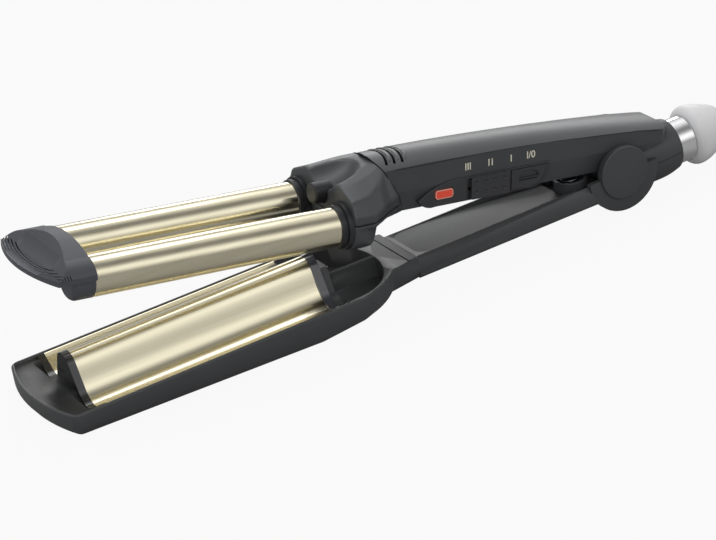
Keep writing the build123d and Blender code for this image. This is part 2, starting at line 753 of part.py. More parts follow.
def barrel_collar(side):
    """Two steps between barrel and head."""
    with BuildPart(mode=Mode.PRIVATE) as collar:
        for start, radius in ((barrel_rear_x, collar_r[0]), (barrel_rear_x + collar_len[0], collar_r[1])):
            with BuildSketch(across(start)):
                with Locations((side * half_pitch, barrel_axis_z)):
                    Circle(radius)
                    Circle(barrel_r, mode=Mode.SUBTRACT)
            extrude(amount=head_front_x - start)
        rims = collar.edges().filter_by(GeomType.CIRCLE)
        outer_rims = rims.filter_by(lambda rim: rim.radius > barrel_r + 0.1)
        fillet(outer_rims.group_by(Axis.X)[0], 0.5)
    return collar.part


with BuildPart() as near_barrel:
    add(barrel_tube(-1))

with BuildPart() as far_barrel:
    add(barrel_tube(1))

with BuildPart() as near_heater:
    add(barrel_heater(-1))

with BuildPart() as far_heater:
    add(barrel_heater(1))

with BuildPart() as near_spreaders:
    add(barrel_spreaders(-1))

with BuildPart() as far_spreaders:
    add(barrel_spreaders(1))

with BuildPart() as near_collar:
    add(barrel_collar(-1))

with BuildPart() as far_collar:
    add(barrel_collar(1))


# ================= head =================
with BuildPart(mode=Mode.PRIVATE) as lobe_form:
    # two stubs round the barrel ends, trimmed to swing into the lower arm's well
    with BuildSketch(across(head_front_x)):
        with Locations((-half_pitch, barrel_axis_z), (half_pitch, barrel_axis_z)):
            Circle(lobe_r)
    extrude(amount=lobe_under[-1][0] - head_front_x)
    with BuildSketch(Plane.XY.offset(-2 * lobe_r)):
        with Locations((well_centre_x, 0)):
            Ellipse(well_long - well_gap, well_half_w - well_gap)
    extrude(amount=4 * lobe_r, mode=Mode.INTERSECT)
    with BuildSketch(Plane.XZ):
        with BuildLine():
            ThreePointArc(*lobe_under)
            Polyline(lobe_under[-1], (lobe_under[-1][0], 2 * lobe_r), (head_front_x, 2 * lobe_r),
                     (head_front_x, -lobe_r), lobe_under[0])
        make_face()
    extrude(amount=2 * jaw_half_w, both=True, mode=Mode.INTERSECT)


def facet_form(shrink, front_x, shift):
    """Faceted top of the head, narrowing to the handle."""
    with BuildPart(mode=Mode.PRIVATE) as form:
        for x, outline in head_sections:
            with BuildSketch(across(x)):
                with BuildLine():
                    Polyline(*outline)
                    mirror(about=Plane.YZ)
                make_face()
                if shrink:
                    offset(amount=-shrink, kind=Kind.INTERSECTION)
        loft(ruled=True)
        with BuildSketch(Plane.XZ):
            with BuildLine():
                Polyline((front_x, 50), (front_x, -20), (seam_x(-20) + shift, -20), (seam_x(50) + shift, 50),
                         close=True)
            make_face()
        extrude(amount=2 * jaw_half_w, both=True, mode=Mode.INTERSECT)
    return form.part


def scoop_form(grow):
    """Egg-shaped hollow in the top of the head."""
    with BuildPart(mode=Mode.PRIVATE) as form:
        with BuildSketch(Plane.XZ):
            with Locations((scoop_x, scoop_z)):
                Ellipse(scoop_long + grow, scoop_r + grow)
                Rectangle(3 * scoop_long, 2 * scoop_r + 2 * grow, align=(Align.CENTER, Align.MIN),
                          mode=Mode.SUBTRACT)
        revolve(axis=Axis((0, 0, scoop_z), (1, 0, 0)))
    return form.part


with BuildPart(mode=Mode.PRIVATE) as head_form:
    add(facet_form(0, head_front_x, 0))
    add(lobe_form.part)
    # room above the spine between the lobes
    with Locations((head_front_x, 0, lobe_gap_top_z)):
        Box(2 * well_long, 2 * lobe_gap_half_w, 2 * lobe_r, align=(Align.CENTER, Align.CENTER, Align.MAX),
            mode=Mode.SUBTRACT)
    add(scoop_form(0), mode=Mode.SUBTRACT)
    with BuildSketch(across(plug_rear_x)):
        with Locations((0, plug_z)):
            Circle(plug_r)
    extrude(amount=head_front_x - plug_rear_x, mode=Mode.SUBTRACT)

with BuildPart(mode=Mode.PRIVATE) as head_cavity:
    add(facet_form(handle_wall, head_front_x + handle_wall, handle_wall))
    add(scoop_form(handle_wall), mode=Mode.SUBTRACT)
    with Locations((plug_rear_x + handle_wall, 0, plug_z)):
        Box(lobe_r, 2 * (plug_r + handle_wall), 4 * plug_r, align=(Align.MAX, Align.CENTER, Align.CENTER),
            mode=Mode.SUBTRACT)
    for start, end, radius in ((head_front_x, barrel_rear_x + barrel_inset, barrel_r),
                               (head_front_x, lobe_wire_x, lobe_wire_r)):
        with BuildSketch(across(start)):
            with Locations((-half_pitch, barrel_axis_z), (half_pitch, barrel_axis_z)):
                Circle(radius)
        extrude(amount=end - start)

with BuildPart() as head_top_shroud:
    add(head_form.part)
    add(head_cavity.part, mode=Mode.SUBTRACT)
    split(bisect_by=Plane.XY.offset(head_split_z), keep=Keep.TOP)

with BuildPart() as head_bottom_shroud:
    add(head_form.part)
    add(head_cavity.part, mode=Mode.SUBTRACT)
    split(bisect_by=Plane.XY.offset(head_split_z), keep=Keep.BOTTOM)

with BuildPart() as head_plug:
    with BuildSketch(across(head_front_x - plug_proud)):
        with Locations((0, plug_z)):
            Circle(plug_r)
    extrude(amount=plug_rear_x - head_front_x + plug_proud)
    fillet(head_plug.edges().filter_by(GeomType.CIRCLE).sort_by(Axis.X)[0], 1.0)


# ================= front cap =================
cap_front_x = barrel_front_x - sleeve_len
with BuildPart(mode=Mode.PRIVATE) as sleeve_form:
    with BuildSketch(across(barrel_front_x)):
        Circle(barrel_r)
    extrude(amount=-sleeve_len)
    fillet(sleeve_form.edges().filter_by(GeomType.CIRCLE).sort_by(Axis.X)[0], sleeve_round)

with BuildPart() as front_cap:
    # hood over the barrel ends
    with BuildSketch(across(barrel_front_x)):
        with BuildLine():
            ThreePointArc(hood_shoulder, hood_cheek, (hood_half_w, lever_z[1]))
            Polyline((hood_half_w, lever_z[1]), (hood_half_w, lever_z[0]), (0, lever_z[0]))
            ThreePointArc(hood_shoulder, (hood_shoulder[0] / 2, hood_haunch_z), (0, hood_top_z))
            mirror(about=Plane.YZ)
        make_face()
    extrude(amount=lever_side_x - barrel_front_x)
    with BuildSketch(Plane.XZ):
        with BuildLine():
            Polyline((hood_rim_x, hood_top_z + 1), (lever_side_x + 1, lever_z[1]),
                     (lever_side_x - 9, lever_z[1]),
                     (lever_side_x - 9, hood_top_z + 1), close=True)
        make_face()
    extrude(amount=hood_half_w + 1, both=True, mode=Mode.SUBTRACT)
    # finger lever with a curved front edge
    with BuildSketch(Plane.XY.offset(lever_z[0])) as lever_plan:
        with BuildLine():
            ThreePointArc((lever_side_x, -hood_half_w), (lever_tip_x, 0), (lever_side_x, hood_half_w))
            Polyline((lever_side_x, hood_half_w), (cap_front_x, hood_half_w), (cap_front_x, -hood_half_w),
                     (lever_side_x, -hood_half_w))
        make_face()
    extrude(amount=lever_z[1] - lever_z[0])
    # bowl for the fingertip
    with BuildSketch(Plane.XY.offset(bowl_z)):
        with BuildLine():
            Polyline((bowl_x - bowl_r, bowl_half), (bowl_x - bowl_r, -bowl_half))
            ThreePointArc((bowl_x - bowl_r, -bowl_half),
                          (bowl_x - bowl_r * cos(pi / 4), -bowl_half - bowl_r * sin(pi / 4)),
                          (bowl_x, -bowl_half - bowl_r))
            Polyline((bowl_x, -bowl_half - bowl_r), (bowl_x, bowl_half + bowl_r))
            ThreePointArc((bowl_x, bowl_half + bowl_r),
                          (bowl_x - bowl_r * cos(pi / 4), bowl_half + bowl_r * sin(pi / 4)),
                          (bowl_x - bowl_r, bowl_half))
        make_face()
    revolve(axis=Axis((bowl_x, 0, bowl_z), (0, 1, 0)), mode=Mode.SUBTRACT)
    # grip lines along the lever
    for i in range(ridge_count):
        with BuildSketch(Plane.XY.offset(lever_z[1] - ridge_deep)):
            with BuildLine():
                step = 0.8 + i * ridge_pitch
                ThreePointArc((lever_side_x + step, -hood_half_w), (lever_tip_x + step, 0),
                              (lever_side_x + step, hood_half_w))
            trace(line_width=ridge_deep)
        extrude(amount=4 * ridge_deep, mode=Mode.SUBTRACT)
    # space over the plate's ridge
    with BuildSketch(across(barrel_front_x)):
        with BuildLine():
            clear_r = ridge_r + block_proud + hood_clear
            Polyline((0, lever_z[0]), (arch_foot, lever_z[0]),
                     (clear_r * 0.94, ridge_axis_z + clear_r * 0.34))
            ThreePointArc((clear_r * 0.94, ridge_axis_z + clear_r * 0.34),
                          (clear_r * 0.64, ridge_axis_z + clear_r * 0.77),
                          (0, ridge_axis_z + clear_r))
            mirror(about=Plane.YZ)
        make_face()
    extrude(amount=front_block_x - 1.0 - barrel_front_x, mode=Mode.SUBTRACT)
    # sleeves flush with the barrels, and their spigots
    for side in (-1, 1):
        add(sleeve_form.part.moved(Location((0, side * half_pitch, barrel_axis_z))))
    with BuildSketch(across(barrel_front_x)):
        with Locations((-half_pitch, barrel_axis_z), (half_pitch, barrel_axis_z)):
            Circle(barrel_r - barrel_wall)
            Circle(cap_screw_shank_r, mode=Mode.SUBTRACT)
    extrude(amount=spigot_len)
    with BuildSketch(across(cap_front_x)):
        with Locations((-half_pitch, barrel_axis_z), (half_pitch, barrel_axis_z)):
            Circle(cap_screw_shank_r)
    extrude(amount=sleeve_len, mode=Mode.SUBTRACT)
    with BuildSketch(across(cap_front_x)):
        with Locations((-half_pitch, barrel_axis_z), (half_pitch, barrel_axis_z)):
            Circle(cap_screw_r)
    extrude(amount=cap_screw_deep, mode=Mode.SUBTRACT)


with BuildPart() as cap_screws:
    for side in (-1, 1):
        seat = Plane((cap_front_x + cap_screw_deep - cap_screw_head_t, side * half_pitch, barrel_axis_z),
                     z_dir=(1, 0, 0))
        shank_len = sleeve_len + spigot_len - cap_screw_deep - cap_screw_tip
        add(screw(seat, cap_screw_r, cap_screw_head_t, cap_screw_shank_r, shank_len))


# ================= handle =================
with BuildPart(mode=Mode.PRIVATE) as seam_tool:
    with BuildSketch(Plane.XZ):
        with BuildLine():
            Spline(*seam_line)
            Polyline(seam_line[-1], (seam_line[-1][0], 60), (seam_line[0][0], 60), seam_line[0])
        make_face()
    extrude(amount=2 * handle_half_w, both=True)

bezel_face_y = handle_half_w + bezel_proud
bezel_back_y = handle_half_w - bezel_deep


def bezel_outline():
    """Boat-shaped outline of the control panel, drawn into the open BuildLine."""
    x_from, x_to = bezel_x
    low, high = bezel_z
    ThreePointArc((x_from + 18, high), (x_from + 8.5, high - 2.6), (x_from, low + 4.1))
    ThreePointArc((x_from, low + 4.1), (x_from + 3.5, low + 0.8), (x_from + 9, low))
    Line((x_from + 9, low), (x_to - 10, low))
    ThreePointArc((x_to - 10, low), (x_to - 2.8, low + 4.0), (x_to, high))
    Line((x_to, high), (x_from + 18, high))


with BuildPart() as handle_top_cover:
    add(handle_outer)
    add(handle_inner, mode=Mode.SUBTRACT)
    add(seam_tool.part, mode=Mode.INTERSECT)
    # curved vent slots behind the head
    for i in range(vent_count):
        with BuildSketch(Plane.XY.offset(knee_z)):
            with BuildLine():
                vent = vent_x + i * vent_pitch
                ThreePointArc((vent + vent_sag, -vent_half_w), (vent, 0), (vent + vent_sag, vent_half_w))
            trace(line_width=vent_w)
        extrude(amount=2 * knee_z, mode=Mode.SUBTRACT)

with BuildPart() as handle_bottom_shell:
    add(handle_outer)
    with BuildSketch(Plane.XZ):
        Circle(knuckle_r)
    extrude(amount=handle_half_w, both=True)
    add(handle_inner, mode=Mode.SUBTRACT)
    add(seam_tool.part, mode=Mode.SUBTRACT)
    # bosses for the screws from below
    for x in handle_screw_x:
        with BuildSketch(Plane.XY.offset(handle_bottom_z)):
            with Locations((x, handle_screw_y)):
                Circle(handle_screw_r + 1.5)
        extrude(amount=handle_boss_h)
    for x in handle_screw_x:
        with BuildSketch(Plane.XY.offset(handle_bottom_z)):
            with Locations((x, handle_screw_y)):
                Circle(handle_screw_r)
        extrude(amount=handle_screw_deep, mode=Mode.SUBTRACT)
        with BuildSketch(Plane.XY.offset(handle_bottom_z)):
            with Locations((x, handle_screw_y)):
                Circle(handle_shank_r)
        extrude(amount=handle_boss_h, mode=Mode.SUBTRACT)
    # seat of the control panel
    with BuildSketch(Plane.XZ.offset(bezel_back_y)):
        with BuildLine():
            bezel_outline()
        make_face()
    extrude(amount=2 * bezel_deep, mode=Mode.SUBTRACT)
    # pin bore with a running fit, and the port for the wires
    with BuildSketch(Plane.XZ):
        Circle(pin_r + pin_fit)
    extrude(amount=handle_half_w, both=True, mode=Mode.SUBTRACT)
    with BuildSketch(Plane.XY.offset(-knuckle_r)):
        with Locations((wire_port_x, 0)):
            Circle(wire_port_r)
    extrude(amount=2 * knuckle_r + knee_z, mode=Mode.SUBTRACT)

with BuildPart() as handle_screws:
    for x in handle_screw_x:
        seat = Plane((x, handle_screw_y, handle_bottom_z + handle_screw_deep - 1.8), z_dir=(0, 0, 1))
        add(screw(seat, handle_screw_r, 1.8, handle_shank_r, handle_boss_h - handle_screw_deep))

# ================= controls =================
button_z = (bezel_z[0] + 1.0, bezel_z[1] - 0.9)
button_back_y = button_floor_y + button_travel + control_gap
slot_from = slider_x - slider_travel - stem_len / 2 - control_gap
slot_to = slider_x + stem_len / 2 + control_gap


def button_outline(grow):
    """Pad of the power button, square at the left and round at the right, drawn into the open BuildLine."""
    x_from, x_to = button_x
    low, high = button_z
    Polyline((x_to - 9.4, low - grow), (x_from - grow, low - grow), (x_from - grow, high + grow),
             (x_to - 0.4 + grow, high + grow))
    ThreePointArc((x_to - 0.4 + grow, high + grow), (x_to - 3.0 + grow, low + 3.8 - grow),
                  (x_to - 9.4, low - grow))


with BuildPart() as control_bezel:
    with BuildSketch(Plane.XZ.offset(bezel_back_y)):
        with BuildLine():
            bezel_outline()
        make_face()
    extrude(amount=bezel_face_y - bezel_back_y)
    rim = control_bezel.faces().sort_by(Axis.Y)[0].edges()
    fillet(rim, 0.5)
    with BuildSketch(Plane.XZ.offset(button_floor_y)):
        with BuildLine():
            button_outline(control_gap)
        make_face()
    extrude(amount=bezel_deep + 2, mode=Mode.SUBTRACT)
    with BuildSketch(Plane.XZ.offset(bezel_back_y)):
        with Locations((button_mid_x, stem_z)):
            Circle(plunger_r + control_gap)
        with Locations(((slot_from + slot_to) / 2, stem_z)):
            Rectangle(slot_to - slot_from, stem_h + 2 * control_gap)
        with Locations((led_x, led_z)):
            Rectangle(*led_size)
    extrude(amount=2 * bezel_deep, mode=Mode.SUBTRACT)
    # dark gap at the end of the slider
    with BuildSketch(Plane.XZ.offset(bezel_face_y - 1.0)):
        with Locations((slider_x - slider_len / 2 - 1.0, (bezel_z[0] + bezel_z[1]) / 2)):
            Rectangle(2.0, bezel_z[1] - bezel_z[0] - 1.6)
    extrude(amount=2, mode=Mode.SUBTRACT)

slider_z = (bezel_z[0] + 0.4, bezel_z[1] - 0.3)
with BuildPart() as temperature_slider:
    with BuildSketch(Plane.XZ.offset(bezel_face_y + slider_lift)):
        with Locations((slider_x, (slider_z[0] + slider_z[1]) / 2)):
            RectangleRounded(slider_len, slider_z[1] - slider_z[0], 0.6)
    extrude(amount=slider_cap)
    with BuildSketch(Plane.XZ.offset(switch_face_y - 1.2)):
        with Locations((slider_x, stem_z)):
            Rectangle(stem_len, stem_h)
    extrude(amount=bezel_face_y + slider_lift - switch_face_y + 1.2)
    with Locations(Plane.XZ.offset(bezel_face_y + slider_lift + slider_cap + dimple_r * 0.45)):
        with Locations((slider_x, (slider_z[0] + slider_z[1]) / 2)):
            with GridLocations(slider_len / 4, 5.0, 4, 2):
                Sphere(dimple_r, mode=Mode.SUBTRACT)

with BuildPart() as power_button:
    with BuildSketch(Plane.XZ.offset(button_back_y)):
        with BuildLine():
            button_outline(0)
        make_face()
    extrude(amount=bezel_face_y + button_proud - button_back_y)
    fillet(power_button.faces().sort_by(Axis.Y)[0].edges(), 0.3)
    with BuildSketch(Plane.XZ.offset(bezel_back_y - control_gap)):
        with Locations((button_mid_x, stem_z)):
            Circle(plunger_r)
    extrude(amount=button_back_y - bezel_back_y + control_gap)
    with BuildSketch(Plane.XZ.offset(bezel_back_y - control_gap)):
        with Locations((button_mid_x, stem_z)):
            Circle(plunger_r + 0.9)
    extrude(amount=-0.9)
    with BuildSketch(Plane.XZ.offset(bezel_back_y - control_gap - 0.9)):
        with Locations((button_mid_x, stem_z)):
            Circle(tip_r)
    extrude(amount=-(bezel_back_y - control_gap - 0.9 - switch_face_y + 0.3))
    # half-moon finger mark with a slit below it
    with BuildSketch(Plane.XZ.offset(bezel_face_y + button_proud - moon_deep)):
        with Locations((button_mid_x, moon_z)):
            Ellipse(half_moon_r, 3.6)
            Rectangle(2 * half_moon_r, 4, align=(Align.CENTER, Align.MAX), mode=Mode.SUBTRACT)
        with Locations((button_mid_x - 0.6, moon_z - 0.9)):
            Rectangle(2 * half_moon_r - 1, 0.7)
    extrude(amount=2, mode=Mode.SUBTRACT)

with BuildPart() as circuit_board:
    with Locations(((board_x[0] + board_x[1]) / 2, board_y, (board_z[0] + board_z[1]) / 2)):
        Box(board_x[1] - board_x[0], board_t, board_z[1] - board_z[0],
            align=(Align.CENTER, Align.MIN, Align.CENTER))

with BuildPart() as slide_switch:
    with BuildSketch(Plane.XZ.offset(-board_y)):
        with Locations(((slot_from + slot_to) / 2, stem_z)):
            Rectangle(slot_to - slot_from + 4, stem_h + 3.4)
    extrude(amount=switch_face_y + board_y)
    with BuildSketch(Plane.XZ.offset(switch_face_y - 1.6)):
        with Locations(((slot_from + slot_to) / 2, stem_z)):
            Rectangle(slot_to - slot_from, stem_h + 2 * control_gap)
    extrude(amount=2, mode=Mode.SUBTRACT)

with BuildPart() as power_switch:
    with BuildSketch(Plane.XZ.offset(-board_y)):
        with Locations((button_mid_x, stem_z)):
            Rectangle(7, 7)
    extrude(amount=switch_face_y + board_y)
    with BuildSketch(Plane.XZ.offset(switch_face_y - 0.3 - button_travel - 0.3)):
        with Locations((button_mid_x, stem_z)):
            Circle(tip_r + control_gap)
    extrude(amount=4, mode=Mode.SUBTRACT)

with BuildPart() as led_lens:
    with BuildSketch(Plane.XZ.offset(bezel_back_y)):
        with Locations((led_x, led_z)):
            Rectangle(*led_size)
    extrude(amount=bezel_face_y - bezel_back_y + 0.3)
    fillet(led_lens.faces().sort_by(Axis.Y)[0].edges(), 0.25)

with BuildPart() as indicator_led:
    with Locations((led_x, board_y, led_z)):
        Box(led_size[0] - 3, bezel_back_y + board_y, led_size[1] - 2.2,
            align=(Align.CENTER, Align.MAX, Align.CENTER))

# ================= labels, pose and files =================
lower_pieces = (
    (lower_arm_shell, "lower_arm_shell"), (wave_plate, "wave_plate"),
    (plate_front_block, "plate_front_block"),
    (plate_rear_block, "plate_rear_block"), (heat_saddle, "heat_saddle"), (plate_heater, "plate_heater"),
    (heater_carrier, "heater_carrier"), (lower_screws, "lower_screws"), (grip_cover, "grip_cover"),
    (spring_cup, "spring_cup"), (opening_spring, "opening_spring"), (hinge_pin, "hinge_pin"),
    (near_hinge_cap, "near_hinge_cap"), (far_hinge_cap, "far_hinge_cap"), (tail_lower, "tail_lower"),
    (tail_upper, "tail_upper"), (swivel_neck, "swivel_neck"), (swivel_knob, "swivel_knob"),
    (swivel_clip, "swivel_clip"),
)
upper_pieces = (
    (near_barrel, "near_barrel"), (far_barrel, "far_barrel"), (near_heater, "near_heater"),
    (far_heater, "far_heater"), (near_spreaders, "near_spreaders"), (far_spreaders, "far_spreaders"),
    (near_collar, "near_collar"), (far_collar, "far_collar"), (head_top_shroud, "head_top_shroud"),
    (head_bottom_shroud, "head_bottom_shroud"), (head_plug, "head_plug"), (front_cap, "front_cap"),
    (cap_screws, "cap_screws"), (handle_top_cover, "handle_top_cover"),
    (handle_bottom_shell, "handle_bottom_shell"), (handle_screws, "handle_screws"),
    (control_bezel, "control_bezel"), (temperature_slider, "temperature_slider"),
    (power_button, "power_button"), (circuit_board, "circuit_board"), (slide_switch, "slide_switch"),
    (power_switch, "power_switch"), (indicator_led, "indicator_led"), (led_lens, "led_lens"),
)
for group, pose in ((lower_pieces, lower_pose), (upper_pieces, upper_pose)):
    for piece, label in group:
        piece.part.label = label
        piece.part.move(pose)
        export_step(piece.part, f"parts/{label}.step")
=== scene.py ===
import bmesh
import bpy
from math import atan, cos, pi, radians, sin
from mathutils import Euler, Matrix, Vector
from mathutils.bvhtree import BVHTree


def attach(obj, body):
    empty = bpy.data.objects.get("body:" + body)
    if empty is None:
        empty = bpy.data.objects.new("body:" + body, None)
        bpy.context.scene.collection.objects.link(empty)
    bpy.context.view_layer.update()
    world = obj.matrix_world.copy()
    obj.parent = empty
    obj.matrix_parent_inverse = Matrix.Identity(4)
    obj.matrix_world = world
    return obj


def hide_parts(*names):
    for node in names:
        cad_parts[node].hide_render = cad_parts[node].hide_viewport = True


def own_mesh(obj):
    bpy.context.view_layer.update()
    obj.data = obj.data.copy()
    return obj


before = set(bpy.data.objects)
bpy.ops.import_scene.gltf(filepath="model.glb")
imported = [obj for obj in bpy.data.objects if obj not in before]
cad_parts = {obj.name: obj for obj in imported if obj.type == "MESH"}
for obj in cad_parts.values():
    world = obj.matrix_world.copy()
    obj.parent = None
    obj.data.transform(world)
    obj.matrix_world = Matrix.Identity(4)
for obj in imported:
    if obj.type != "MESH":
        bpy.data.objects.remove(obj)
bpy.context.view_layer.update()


# ================= camera =================
# A long lens looks down on the near side of the waver, barrels to the left.
# Its turn is given about X, Y and Z.
def put_in_scene(name, data):
    """A new object with this data, linked into the scene."""
    made = bpy.data.objects.new(name, data)
    bpy.context.scene.collection.objects.link(made)
    return made


camera_place = (-0.470335, -1.147393, 0.619421)
camera_turn = Euler((radians(64.435), radians(7.608), radians(-30.365)))
camera_data = bpy.data.cameras.new("camera")
camera_data.sensor_width = 36.0
camera_data.lens = 150.84
camera_data.clip_start = 0.05
camera_data.clip_end = 20.0
camera = put_in_scene("camera", camera_data)
camera.matrix_world = Matrix.LocRotScale(camera_place, camera_turn, None)
bpy.context.scene.camera = camera
bpy.context.scene.view_settings.view_transform = "Standard"


# ================= floor and studio light =================
# A white sweep under the tool keeps its soft shadow. Three soft boxes light it:
# one overhead, one in front, and a low one behind for a sheen on the top faces.
def mesh_of(name, shape):
    """Mesh of a finished bmesh, which is freed."""
    mesh = bpy.data.meshes.new(name)
    shape.to_mesh(mesh)
    shape.free()
    return mesh


floor_half = 3.0
floor_drop = 0.0002            # clear of the tool's flat sole
seen_white = 0.93              # share of white that the camera sees
mirrored_white = 0.06          # share of white that metal and glass show
floor_shape = bmesh.new()
bmesh.ops.create_grid(floor_shape, x_segments=2, y_segments=2, size=floor_half)
floor_mesh = mesh_of("floor", floor_shape)
floor = put_in_scene("floor", floor_mesh)
floor.location = (0.1, 0.0, -floor_drop)
floor_paper = bpy.data.materials.new("floor_paper")
floor_paper.use_nodes = True
nodes, links = floor_paper.node_tree.nodes, floor_paper.node_tree.links
paper = nodes["Principled BSDF"]
paper.inputs["Base Color"].default_value = (0.34, 0.34, 0.34, 1)
paper.inputs["Roughness"].default_value = 0.9
paper.inputs["Specular IOR Level"].default_value = 0.1
glow = nodes.new("ShaderNodeEmission")
rays = nodes.new("ShaderNodeLightPath")
seen = nodes.new("ShaderNodeMath")
seen.operation = "MULTIPLY"
seen.inputs[1].default_value = seen_white
mirrored = nodes.new("ShaderNodeMath")
mirrored.operation = "ADD"
faint = nodes.new("ShaderNodeMath")
faint.operation = "MULTIPLY_ADD"
faint.inputs[1].default_value = mirrored_white
mixed = nodes.new("ShaderNodeMixShader")
links.new(rays.outputs["Is Camera Ray"], seen.inputs[0])
links.new(rays.outputs["Is Glossy Ray"], mirrored.inputs[0])
links.new(rays.outputs["Is Transmission Ray"], mirrored.inputs[1])
links.new(mirrored.outputs[0], faint.inputs[0])
links.new(seen.outputs[0], faint.inputs[2])
links.new(faint.outputs[0], mixed.inputs["Fac"])
links.new(paper.outputs[0], mixed.inputs[1])
links.new(glow.outputs[0], mixed.inputs[2])
links.new(mixed.outputs[0], nodes["Material Output"].inputs["Surface"])
floor_mesh.materials.append(floor_paper)

# The room is lit in long bands that run along the tool, from the near side
# over the top to the far side. Each is given in degrees up and brightness.
band_stops = ((0, 0.30), (9, 0.40), (19, 0.90), (30, 1.18), (40, 0.98), (50, 0.46), (62, 0.22),
              (76, 0.26), (92, 0.70), (112, 1.02), (130, 0.86), (146, 0.42), (164, 0.26), (180, 0.20))
backdrop_white = 0.97
world = bpy.data.worlds.new("studio")
bpy.context.scene.world = world
world.use_nodes = True
nodes, links = world.node_tree.nodes, world.node_tree.links
room = nodes["Background"]
where = nodes.new("ShaderNodeTexCoord")
apart = nodes.new("ShaderNodeSeparateXYZ")
near = nodes.new("ShaderNodeMath")
near.operation = "MULTIPLY"
near.inputs[1].default_value = -1.0
angle = nodes.new("ShaderNodeMath")
angle.operation = "ARCTAN2"
half_turn = nodes.new("ShaderNodeMapRange")
half_turn.inputs["From Max"].default_value = pi
bands = nodes.new("ShaderNodeValToRGB")
ramp = bands.color_ramp.elements
for number, (degrees_up, level) in enumerate(band_stops):
    stop = ramp.new(degrees_up / 180) if number > 0 else ramp[0]
    stop.position = degrees_up / 180
    stop.color = (level, level, level, 1)
backdrop = nodes.new("ShaderNodeBackground")
backdrop.inputs["Color"].default_value = (backdrop_white, backdrop_white, backdrop_white, 1)
rays = nodes.new("ShaderNodeLightPath")
mixed = nodes.new("ShaderNodeMixShader")
links.new(where.outputs["Generated"], apart.inputs["Vector"])
links.new(apart.outputs["Y"], near.inputs[0])
links.new(apart.outputs["Z"], angle.inputs[0])
links.new(near.outputs[0], angle.inputs[1])
links.new(angle.outputs[0], half_turn.inputs["Value"])
links.new(half_turn.outputs["Result"], bands.inputs["Fac"])
links.new(bands.outputs["Color"], room.inputs["Color"])
links.new(rays.outputs["Is Camera Ray"], mixed.inputs["Fac"])
links.new(room.outputs[0], mixed.inputs[1])
links.new(backdrop.outputs[0], mixed.inputs[2])
links.new(mixed.outputs[0], nodes["World Output"].inputs["Surface"])

# Each soft box: its place, what it points at, its two sides and its power.
for name, place, aim, sides, power in (
        ("overhead_box", (0.10, 0.60, 1.25), (0.05, 0.0, 0.03), (1.6, 0.55), 4.6),
        ("sheen_box", (0.98, 1.20, 0.44), (0.14, 0.0, 0.05), (0.80, 0.40), 3.6),
        ("side_box", (-0.35, -1.30, 0.75), (0.05, 0.0, 0.02), (0.9, 0.5), 2.6)):
    lamp = bpy.data.lights.new(name, "AREA")
    lamp.shape = "RECTANGLE"
    lamp.size, lamp.size_y = sides
    lamp.energy = power
    soft_box = put_in_scene(name, lamp)
    soft_box.location = place
    soft_box.rotation_euler = (Vector(aim) - Vector(place)).to_track_quat("-Z", "Y").to_euler()


# ================= barrels and corrugated plate =================
# Drawn aluminium tube and rolled aluminium sheet with a thin champagne coating.
# The drawing leaves faint streaks along the length.
def wear(material, *names):
    """Give CAD nodes this finish."""
    for name in names:
        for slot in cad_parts[name].material_slots:
            slot.material = material


def coated_metal(name, colour, deep_colour, roughness):
    """Coated metal with streaks along X."""
    streaks_per_metre = (6.0, 420.0, 420.0)
    material = bpy.data.materials.new(name)
    material.use_nodes = True
    nodes, links = material.node_tree.nodes, material.node_tree.links
    shader = nodes["Principled BSDF"]
    shader.inputs["Metallic"].default_value = 1.0
    where = nodes.new("ShaderNodeTexCoord")
    stretch = nodes.new("ShaderNodeMapping")
    stretch.inputs["Scale"].default_value = streaks_per_metre
    streak = nodes.new("ShaderNodeTexNoise")
    streak.inputs["Scale"].default_value = 1.0
    streak.inputs["Detail"].default_value = 4.0
    tint = nodes.new("ShaderNodeValToRGB")
    for stop, place, shade in zip(tint.color_ramp.elements, (0.32, 0.68), (deep_colour, colour)):
        stop.position = place
        stop.color = (*shade, 1)
    rough = nodes.new("ShaderNodeMapRange")
    rough.inputs["To Min"].default_value = roughness - 0.04
    rough.inputs["To Max"].default_value = roughness + 0.05
    bump = nodes.new("ShaderNodeBump")
    bump.inputs["Strength"].default_value = 0.12
    bump.inputs["Distance"].default_value = 0.00004
    links.new(where.outputs["Object"], stretch.inputs["Vector"])
    links.new(stretch.outputs["Vector"], streak.inputs["Vector"])
    links.new(streak.outputs["Fac"], tint.inputs["Fac"])
    links.new(streak.outputs["Fac"], rough.inputs["Value"])
    links.new(streak.outputs["Fac"], bump.inputs["Height"])
    links.new(tint.outputs["Color"], shader.inputs["Base Color"])
    links.new(rough.outputs["Result"], shader.inputs["Roughness"])
    links.new(bump.outputs["Normal"], shader.inputs["Normal"])
    return material


gold_coat = coated_metal("gold_coat", (0.86, 0.80, 0.61), (0.78, 0.72, 0.53), 0.19)
wear(gold_coat, "near_barrel", "far_barrel")


